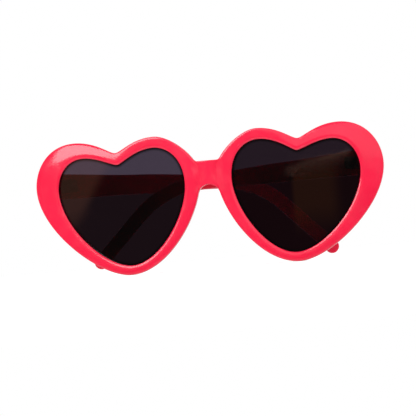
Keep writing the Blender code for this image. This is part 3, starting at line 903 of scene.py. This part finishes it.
# Soft studio light: white surroundings for the camera, a softbox high on the viewer's left
# and a weak one on the right
studio = {
    "ambient": 0.97,
    # what gloss mirrors of the world, from in front of the object to behind it, and below it
    "shineAround": {
        **smoothly, "From Min": -0.1, "From Max": 0.6, "To Min": 0.045, "To Max": 0.80,
    },
    "belowLevels": {**smoothly, "From Min": -0.35, "From Max": -0.85},
    "shineBelow": 0.85,
    "behindLens": 0.06,     # what shows of the world through a lens
    "washStep": 1.2,        # the wash stands this much farther off than the shine, and is larger
    "key": {"azimuth": -34, "elevation": 38, "distance": 0.7, "size": (0.60, 0.56), "shine": 5.3,
            "washElevation": 20, "wash": 1.55},
    "fill": {"azimuth": 48, "elevation": 32, "distance": 0.7, "size": (1.12, 0.74), "shine": 0.62,
             "washElevation": 24, "wash": 0.40},
}


def makeWorld():
    world = bpy.data.worlds.new("white studio")
    bpy.context.scene.world = world
    world.use_nodes = True
    tree = world.node_tree
    rays = addNode(tree, "ShaderNodeLightPath").outputs
    place = addNode(tree, "ShaderNodeTexCoord").outputs["Generated"]
    way = addNode(tree, "ShaderNodeSeparateXYZ", None, {0: place}).outputs
    around = addNode(tree, "ShaderNodeMapRange", studio["shineAround"], {"Value": way["Y"]})
    below = addNode(tree, "ShaderNodeMapRange", studio["belowLevels"], {"Value": way["Z"]})
    shine = addNode(
        tree, "ShaderNodeMix", {"B": studio["shineBelow"]}, {"Factor": below, "A": around}
    )
    glossy = addNode(
        tree, "ShaderNodeMix", {"A": studio["ambient"]},
        {"Factor": rays["Is Glossy Ray"], "B": shine},
    )
    through = addNode(
        tree, "ShaderNodeMix", {"B": studio["behindLens"]},
        {"Factor": rays["Is Transmission Ray"], "A": glossy},
    )
    seen = addNode(
        tree, "ShaderNodeMix", {"B": 1.0}, {"Factor": rays["Is Camera Ray"], "A": through}
    )
    background = tree.nodes["Background"]
    background.inputs["Color"].default_value = (1, 1, 1, 1)
    feed(tree, background, {"Strength": seen})


def makeLamp(name, s, radiance, shines):
    # one softbox: the part of it that gloss shows, or behind it the part that lights colours
    step = 1.0 if shines else studio["washStep"]
    lamp = bpy.data.lights.new(name, "AREA")
    lamp.shape = "RECTANGLE"
    lamp.size, lamp.size_y = [side * step for side in s["size"]]
    lamp.energy = radiance * math.pi * lamp.size * lamp.size_y
    made = newObject(name, lamp)
    turn = math.radians(s["azimuth"])
    rise = math.radians(s["elevation" if shines else "washElevation"])
    level = math.cos(rise)
    way = Vector((math.sin(turn) * level, -math.cos(turn) * level, math.sin(rise)))
    made.location = way * s["distance"] * step
    made.rotation_euler = way.to_track_quat("Z", "Y").to_euler()
    made.visible_camera = False
    made.visible_transmission = False
    made.visible_glossy = shines
    made.visible_diffuse = not shines


def newSheet(name, corners, material):
    mesh = bpy.data.meshes.new(name)
    mesh.from_pydata(corners, [], [(0, 1, 2, 3)])
    mesh.materials.append(material)
    return newObject(name, mesh)


# Panels that give the lenses their patches: brown ones in front, glowing cards that gloss mirrors
# as reflections, and ones behind, seen only through the lenses, which paint the lit backdrop
# (pale left, dim right) and its shade lower down (low left, low right). The camera and colours
# never see them.
# Corners in millimetres, then how soft the left, right, lower and upper sides are.
panels = {
    "brown right": {
        "corners": ((118, -500, -15), (228, -500, -15), (228, -500, 9.0), (118, -500, 4.6)),
        "soft": (0.10, 0.34, 0.5, 0.06), "colour": "#8d6446", "strength": 1.0,
        "seen": "glossy",
    },
    "edge right": {
        "corners": ((104, -499, 4.5), (250, -499, 10.0), (250, -499, 11.2), (104, -499, 5.7)),
        "soft": (0.18, 0.12, 0.4, 0.4), "colour": "#e6bca2", "strength": 2.6,
        "seen": "glossy",
    },
    "brown left": {
        "corners": ((-480, -500, -9), (-325, -500, -9), (-175, -500, 22), (-480, -500, 22)),
        "soft": (0.02, 0.22, 0.3, 0.1), "colour": "#cf9078", "strength": 1.0,
        "seen": "glossy",
    },
    "pale left": {
        "corners": ((-50, 45, -0.6), (-1, 45, -1.2), (-1, 45, 20), (-50, 45, 20)),
        "soft": (0.02, 0.02, 0.19, 0.02), "colour": "#f7f7f7", "strength": 2.3,
        "seen": "transmission",
    },
    "dim right": {
        "corners": ((1, 45, -1.2), (50, 45, -0.6), (50, 45, 20), (1, 45, 20)),
        "soft": (0.02, 0.02, 0.19, 0.02), "colour": "#ceb5ba", "strength": 1.0,
        "seen": "transmission",
    },
    "low left": {
        "corners": ((-50, 46, -30), (-1, 46, -30), (-1, 46, 12), (-50, 46, 12)),
        "soft": (0.02, 0.02, 0.2, 0.2), "colour": "#957274", "strength": 1.0,
        "seen": "transmission",
    },
    "low right": {
        "corners": ((1, 46, -30), (50, 46, -30), (50, 46, 12), (1, 46, 12)),
        "soft": (0.02, 0.02, 0.2, 0.2), "colour": "#76303f", "strength": 1.0,
        "seen": "transmission",
    },
}


def makePanel(name, p):
    made = bpy.data.materials.new(name)
    made.use_nodes = True
    tree = made.node_tree
    looks = {"Color": hexToLinear(p["colour"]), "Strength": p["strength"]}
    glow = addNode(tree, "ShaderNodeEmission", looks)
    clear = addNode(tree, "ShaderNodeBsdfTransparent")
    place = addNode(tree, "ShaderNodeTexCoord").outputs["UV"]
    across = addNode(tree, "ShaderNodeSeparateXYZ", None, {0: place}).outputs
    left, right, low, high = p["soft"]
    share = None
    for axis, start, end in (
        ("X", 0.0, left), ("X", 1.0, 1.0 - right), ("Y", 0.0, low), ("Y", 1.0, 1.0 - high),
    ):
        levels = {**smoothly, "From Min": start, "From Max": end}
        fade = addNode(tree, "ShaderNodeMapRange", levels, {"Value": across[axis]})
        if share is not None:
            fade = addNode(tree, "ShaderNodeMath", {"operation": "MULTIPLY"}, {0: share, 1: fade})
        share = fade
    both = addNode(tree, "ShaderNodeMixShader", None, {0: share, 1: clear, 2: glow})
    feed(tree, tree.nodes["Material Output"], {"Surface": both})
    panel = newSheet(name, [[v / 1000 for v in c] for c in p["corners"]], made)
    places = panel.data.uv_layers.new(name="across")
    for loop, place in enumerate(((0, 0), (1, 0), (1, 1), (0, 1))):
        places.data[loop].uv = place
    panel.visible_camera = False
    panel.visible_diffuse = False
    panel.visible_shadow = False
    panel.visible_glossy = p["seen"] == "glossy"
    panel.visible_transmission = p["seen"] == "transmission"


# Floor: pale matt sheet that the heart tips stand on, near white to the camera, with shadows
floor = {"below": 0.01972, "reach": 1.5, "colour": "#e2e2e2", "roughness": 0.9, "lift": 0.30}


def makeFloor():
    r, z = floor["reach"], -floor["below"]
    looks = {"Base Color": hexToLinear(floor["colour"]), "Roughness": floor["roughness"],
             "Specular IOR Level": 0.0}
    made, tree, shader = newMaterial("matt white sheet", looks)
    seen = addNode(tree, "ShaderNodeLightPath").outputs["Is Camera Ray"]
    lift = addNode(tree, "ShaderNodeMath", {"operation": "MULTIPLY", 1: floor["lift"]}, {0: seen})
    glow = addNode(tree, "ShaderNodeEmission", None, {"Strength": lift})
    both = addNode(tree, "ShaderNodeAddShader", None, {0: shader, 1: glow})
    feed(tree, tree.nodes["Material Output"], {"Surface": both})
    sheet = newSheet("pale floor", [(-r, -r, z), (r, -r, z), (r, r, z), (-r, r, z)], made)
    sheet.visible_glossy = False
    sheet.visible_transmission = False


makeWorld()
for word in ("key", "fill"):
    makeLamp(word + " softbox", studio[word], studio[word]["shine"], True)
    makeLamp(word + " wash", studio[word], studio[word]["wash"], False)
for name, panel in panels.items():
    makePanel(name, panel)
makeFloor()
bpy.context.scene.view_settings.view_transform = "Standard"

print("scene ready")
